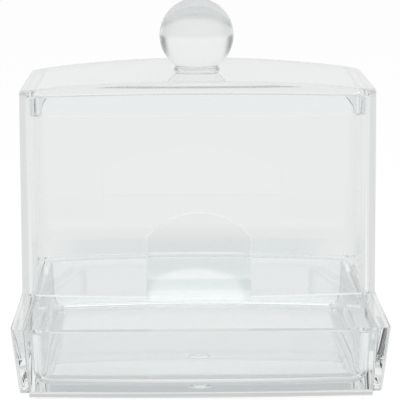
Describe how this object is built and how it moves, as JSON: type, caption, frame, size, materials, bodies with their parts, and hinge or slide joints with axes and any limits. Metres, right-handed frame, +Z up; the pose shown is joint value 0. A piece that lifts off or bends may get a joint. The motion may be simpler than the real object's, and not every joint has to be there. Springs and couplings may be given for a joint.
{
  "type": "cotton pad holder with drawer",
  "caption": "Clear plastic cotton pad hopper with a finger notch, a pull-out drawer under it and a lift-off crowned lid with a ball knob.",
  "frame": {"origin": "middle of the object's footprint, on the surface it stands on", "axes": "+Z up; the drawer's front panel faces -Y; +X to the right seen from the front"},
  "size_m": [0.095, 0.1132, 0.0947],
  "materials": {
    "clear_casing": "clear polished polystyrene",
    "clear_drawer": "clear polished polystyrene",
    "clear_lid": "clear polished polystyrene",
    "clear_knob": "clear polished acrylic"
  },
  "bodies": {
    "casing": {"casing": "clear_casing"},
    "drawer": {"drawer": "clear_drawer"},
    "lid": {"lid": "clear_lid", "lid_knob": "clear_knob"}
  },
  "joints": [
    {"name": "drawer_slide", "type": "slide", "parent": "casing", "child": "drawer", "axis": [0, -1, 0], "range_m": [0, 0.075]},
    {"name": "lid_lift", "type": "slide", "parent": "casing", "child": "lid", "axis": [0, 0, 1], "range_m": [0, 0.08]}
  ]
}
